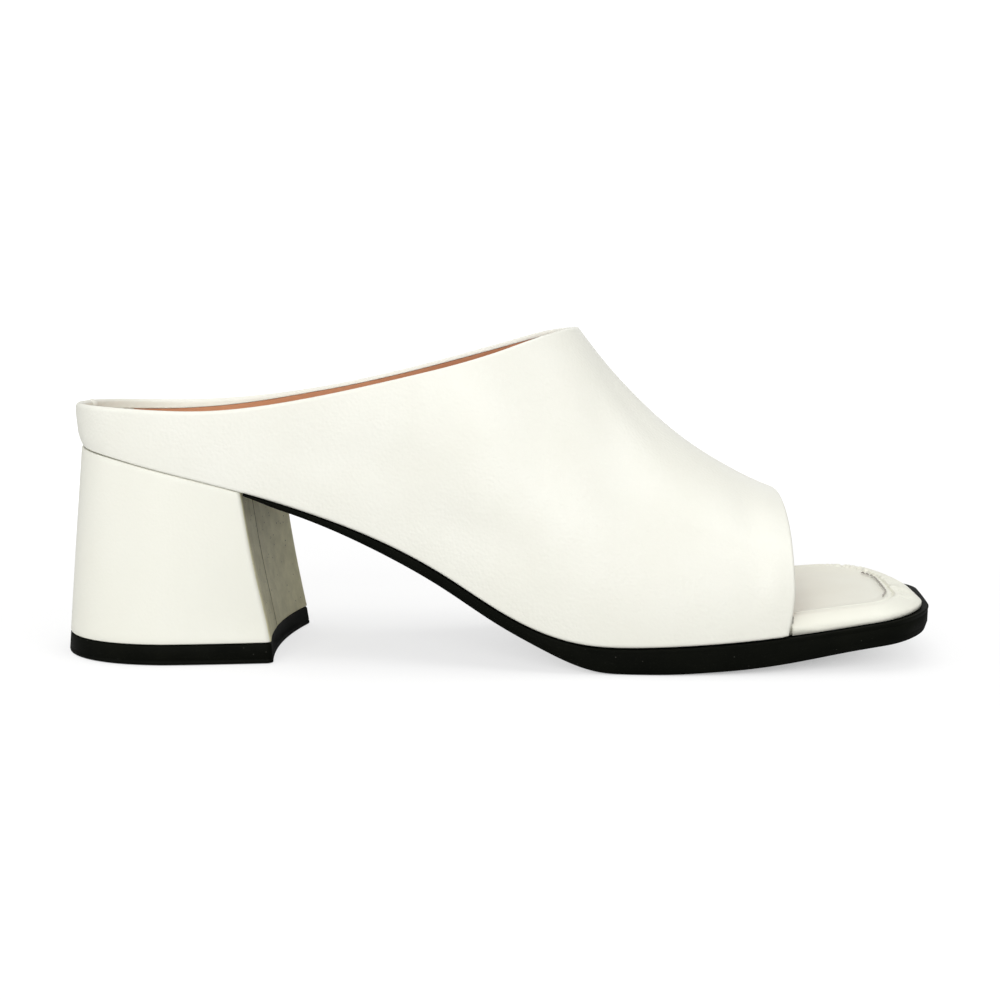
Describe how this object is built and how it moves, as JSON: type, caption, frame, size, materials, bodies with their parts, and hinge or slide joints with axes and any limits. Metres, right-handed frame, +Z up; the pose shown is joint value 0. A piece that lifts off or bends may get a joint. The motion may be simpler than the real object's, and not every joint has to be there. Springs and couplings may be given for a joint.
{
  "type": "mule shoe",
  "caption": "Block-heeled open-toe mule for the right foot: smooth off-white leather upper with no back, squared toe, padded wrapped insole, thin black rubber sole and covered heel.",
  "frame": {"origin": "middle of the bottom of the shoe's bounding box, on the floor plane that heel and forefoot stand on", "axes": "+X to the toe, +Y to the inner (medial) side of the foot, +Z up"},
  "size_m": [0.254, 0.0808, 0.095],
  "materials": {
    "leather_white": "smooth semi-matt, fine grain",
    "insole_white": "smooth matt, padded and stitched",
    "rubber_black": "satin moulded",
    "lining_tan": "plain lining leather inside the upper",
    "lining_white": "pale lining round the inside of the heel"
  },
  "bodies": {
    "root": {"upper": "leather_white", "insole": "insole_white", "outsole": "rubber_black", "heel_block": "leather_white", "top_lift": "rubber_black"}
  },
  "joints": []
}
